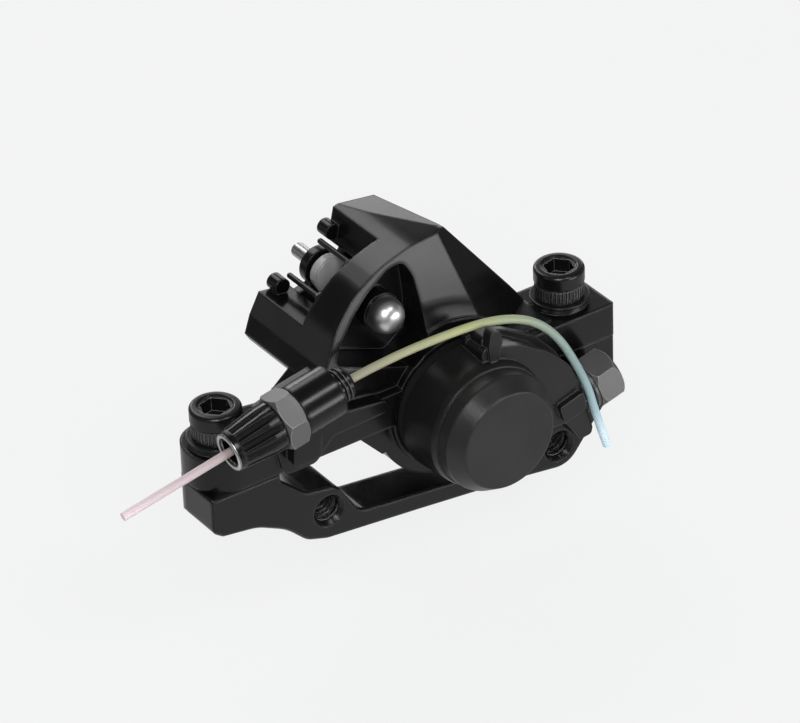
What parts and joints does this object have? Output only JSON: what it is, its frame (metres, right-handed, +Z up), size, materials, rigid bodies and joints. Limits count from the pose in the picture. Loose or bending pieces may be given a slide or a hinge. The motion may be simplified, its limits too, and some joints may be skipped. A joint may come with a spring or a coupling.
{
  "type": "mechanical disc brake caliper",
  "caption": "Cable-pulled bicycle disc brake caliper with a pivoting arm, cable stop, two brake pads and a mounting adapter.",
  "frame": {"origin": "on the adapter's seat face, on its bar midway between the two frame holes along X", "axes": "+X along the line of the two caliper bolts, from the cable stop towards the cable clamp; +Y inboard, towards the wheel and square to the rotor; +Z up along the caliper bolts, away from their threads"},
  "size_m": [0.1103, 0.0497, 0.0555],
  "materials": {
    "gloss_black": "gloss",
    "satin_black": "satin",
    "black_steel": "satin",
    "gunmetal": "satin",
    "bush_metal": "satin",
    "rubber_black": "matte",
    "steel": "satin",
    "bright_steel": "polished",
    "spring_black": "satin",
    "cable_wire": "satin",
    "charcoal_plastic": "matte",
    "plate_grey": "satin",
    "lining": "matte"
  },
  "bodies": {
    "caliper": {"caliper_body": "gloss_black", "mount_adapter": "gloss_black", "mount_bolts": "black_steel", "flat_washers": "black_steel", "cone_washers": "black_steel", "shaft_bush": "bush_metal", "dust_seal": "rubber_black", "thrust_washer": "steel", "piston_key": "steel", "outboard_pad_pin": "bright_steel", "inboard_pad_pin": "steel", "pad_spring": "spring_black", "return_spring": "steel", "brake_cable": "cable_wire"},
    "arm": {"actuator_arm": "satin_black", "arm_cap": "charcoal_plastic", "ramp_spindle": "steel", "arm_screw": "black_steel", "arm_washer": "steel", "clamp_bolt": "gunmetal", "clamp_washer": "gunmetal"},
    "balls": {"ball_cage": "bush_metal", "ramp_balls": "bright_steel"},
    "piston": {"thrust_piston": "steel"},
    "outboard_pad": {"outboard_pad_plate": "plate_grey", "outboard_lining": "lining"},
    "inboard_pad": {"inboard_pad_plate": "plate_grey", "inboard_lining": "lining"},
    "adjuster": {"inboard_adjuster": "black_steel"},
    "barrel": {"barrel_adjuster": "gloss_black"},
    "lock_nut": {"barrel_lock_nut": "gunmetal"}
  },
  "joints": [
    {"name": "arm_turn", "type": "hinge", "parent": "caliper", "child": "arm", "pos_m": [0.00275, -0.005, 0.02], "axis": [0, -1, 0], "range_deg": [0, 25], "stiffness_Nm_per_rad": 0.12, "springref_deg": -20.05, "deforming": ["return_spring", "brake_cable"]},
    {"name": "balls_turn", "type": "hinge", "parent": "caliper", "child": "balls", "pos_m": [0.00275, -0.005, 0.02], "axis": [0, -1, 0], "range_deg": [0, 12.6]},
    {"name": "piston_slide", "type": "slide", "parent": "caliper", "child": "piston", "axis": [0, 1, 0], "range_m": [0, 0.00122]},
    {"name": "outboard_pad_slide", "type": "slide", "parent": "caliper", "child": "outboard_pad", "axis": [0, 1, 0], "range_m": [0, 0.00122], "deforming": ["pad_spring"]},
    {"name": "adjuster_turn", "type": "hinge", "parent": "caliper", "child": "adjuster", "pos_m": [0.00275, 0.028, 0.02], "axis": [0, -1, 0], "range_deg": [0, 360]},
    {"name": "inboard_pad_slide", "type": "slide", "parent": "caliper", "child": "inboard_pad", "axis": [0, -1, 0], "range_m": [0, 0.00102], "deforming": ["pad_spring"]},
    {"name": "barrel_turn", "type": "hinge", "parent": "caliper", "child": "barrel", "pos_m": [-0.04785, -0.004, 0.0319], "axis": [0.9823, 0, 0.1874], "range_deg": [-360, 720]},
    {"name": "lock_nut_turn", "type": "hinge", "parent": "caliper", "child": "lock_nut", "pos_m": [-0.04785, -0.004, 0.0319], "axis": [0.9823, 0, 0.1874], "range_deg": [-360, 720]}
  ],
  "couplings": [
    {"joint": "balls_turn", "follows": "arm_turn", "ratio": 0.5},
    {"joint": "piston_slide", "follows": "arm_turn", "m_per_rad": 0.00275},
    {"joint": "outboard_pad_slide", "follows": "arm_turn", "m_per_rad": 0.00275},
    {"joint": "inboard_pad_slide", "follows": "adjuster_turn", "m_per_rad": 0.0001592}
  ]
}
